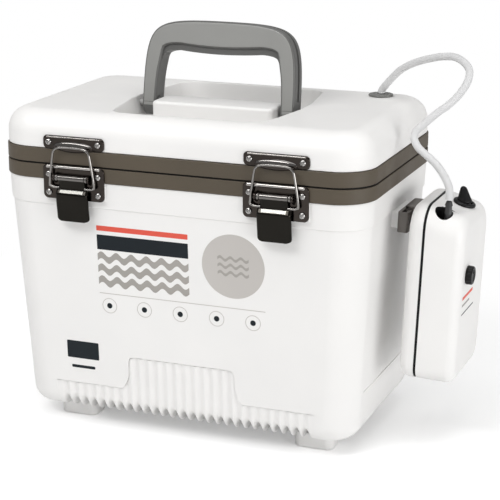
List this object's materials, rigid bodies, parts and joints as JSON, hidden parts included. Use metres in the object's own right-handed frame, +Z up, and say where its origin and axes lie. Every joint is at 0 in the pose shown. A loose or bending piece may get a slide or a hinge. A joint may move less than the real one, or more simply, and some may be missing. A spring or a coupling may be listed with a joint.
{
  "type": "live bait well",
  "caption": "Insulated live bait box with a hinged, latched lid, swinging carry handle and a battery air pump hung on its side, with an air hose to a stone inside.",
  "frame": {"origin": "on the ground under the middle of the box and its pump together, the hose and the air stone aside", "axes": "+X to the right seen from the front, where the pump hangs; +Y to the rear hinges; +Z up"},
  "size_m": [0.3744, 0.2112, 0.3266],
  "materials": {
    "shell_white": "satin",
    "liner_white": "satin",
    "trim_taupe": "satin",
    "foam": "matt",
    "rubber_black": "matt",
    "handle_grey": "satin",
    "dark_chrome": "polished",
    "screw_steel": "polished",
    "plain_steel": "brushed",
    "black_plastic": "satin",
    "clear_hose": "translucent",
    "stone": "matt",
    "cell_wrap": "gloss",
    "contact_brass": "satin"
  },
  "bodies": {
    "tub": {"tub_shell": "shell_white", "tub_foam": "foam", "tub_liner": "liner_white", "tub_rim_band": "trim_taupe", "foot_front_left": "shell_white", "foot_front_right": "shell_white", "foot_rear_left": "shell_white", "foot_rear_right": "shell_white", "latch_base_left": "dark_chrome", "latch_lever_pin_left": "dark_chrome", "latch_screw_left_lower_left": "screw_steel", "latch_screw_left_lower_right": "screw_steel", "latch_screw_left_upper_left": "screw_steel", "latch_screw_left_upper_right": "screw_steel", "latch_base_right": "dark_chrome", "latch_lever_pin_right": "dark_chrome", "latch_screw_right_lower_left": "screw_steel", "latch_screw_right_lower_right": "screw_steel", "latch_screw_right_upper_left": "screw_steel", "latch_screw_right_upper_right": "screw_steel", "hinge_pin_left": "plain_steel", "hinge_pin_right": "plain_steel", "hanger_bracket": "trim_taupe", "hanger_screw_front": "plain_steel", "hanger_screw_rear": "plain_steel", "air_hose_lower": "clear_hose", "air_hose_upper": "clear_hose", "air_hose_inner": "clear_hose", "air_stone": "stone"},
    "lid": {"latch_keeper_left": "dark_chrome", "keeper_screw_left_left": "screw_steel", "keeper_screw_left_right": "screw_steel", "latch_keeper_right": "dark_chrome", "keeper_screw_right_left": "screw_steel", "keeper_screw_right_right": "screw_steel", "lid_shell": "shell_white", "lid_foam": "foam", "lid_liner": "liner_white", "lid_rim_band": "trim_taupe", "lid_gasket": "rubber_black", "handle_pin_left": "plain_steel", "handle_pin_right": "plain_steel", "hose_grommet": "trim_taupe"},
    "handle": {"handle": "handle_grey"},
    "lever_left": {"latch_lever_left": "dark_chrome"},
    "lever_right": {"latch_lever_right": "dark_chrome"},
    "bail_left": {"latch_bail_left": "dark_chrome"},
    "bail_right": {"latch_bail_right": "dark_chrome"},
    "pump": {"pump_back_cover": "shell_white", "pump_gasket": "rubber_black", "pump_front_case": "shell_white", "pump_nipple": "black_plastic", "switch_collar": "black_plastic", "battery_cell_front": "cell_wrap", "battery_cell_rear": "cell_wrap", "battery_contact": "contact_brass", "pump_motor": "plain_steel", "pump_head": "black_plastic"},
    "knob": {"speed_knob": "black_plastic"},
    "switch": {"toggle_boot": "rubber_black"}
  },
  "joints": [
    {"name": "lid_hinge", "type": "hinge", "parent": "tub", "child": "lid", "pos_m": [-0.03216, 0.1016, 0.2222], "axis": [-1, 0, 0], "range_deg": [0, 100], "deforming": ["air_hose_lower", "air_hose_upper", "air_hose_inner"]},
    {"name": "handle_swing", "type": "hinge", "parent": "lid", "child": "handle", "pos_m": [-0.03216, -0.0004, 0.257], "axis": [1, 0, 0], "range_deg": [-81.5, 98.5]},
    {"name": "latch_lever_left", "type": "hinge", "parent": "tub", "child": "lever_left", "pos_m": [-0.11666, -0.1027, 0.213], "axis": [-1, 0, 0], "range_deg": [0, 110]},
    {"name": "latch_bail_left", "type": "hinge", "parent": "lever_left", "child": "bail_left", "pos_m": [-0.11666, -0.1023, 0.2052], "axis": [-1, 0, 0], "range_deg": [-110, 0]},
    {"name": "latch_lever_right", "type": "hinge", "parent": "tub", "child": "lever_right", "pos_m": [0.05234, -0.1027, 0.213], "axis": [-1, 0, 0], "range_deg": [0, 110]},
    {"name": "latch_bail_right", "type": "hinge", "parent": "lever_right", "child": "bail_right", "pos_m": [0.05234, -0.1023, 0.2052], "axis": [-1, 0, 0], "range_deg": [-110, 0]},
    {"name": "pump_lift", "type": "slide", "parent": "tub", "child": "pump", "axis": [0.0436, 0, 0.999], "range_m": [0, 0.02], "deforming": ["air_hose_lower", "air_hose_upper"]},
    {"name": "speed_knob", "type": "hinge", "parent": "pump", "child": "knob", "pos_m": [0.18359, -0.0208, 0.14418], "axis": [0.999, 0, -0.0436], "range_deg": [0, 270]},
    {"name": "toggle_switch", "type": "hinge", "parent": "pump", "child": "switch", "pos_m": [0.17114, 0.0046, 0.19386], "axis": [0, 1, 0], "range_deg": [0, 24]}
  ],
  "couplings": [
    {"joint": "latch_bail_left", "follows": "latch_lever_left", "ratio": -1},
    {"joint": "latch_bail_right", "follows": "latch_lever_right", "ratio": -1}
  ]
}
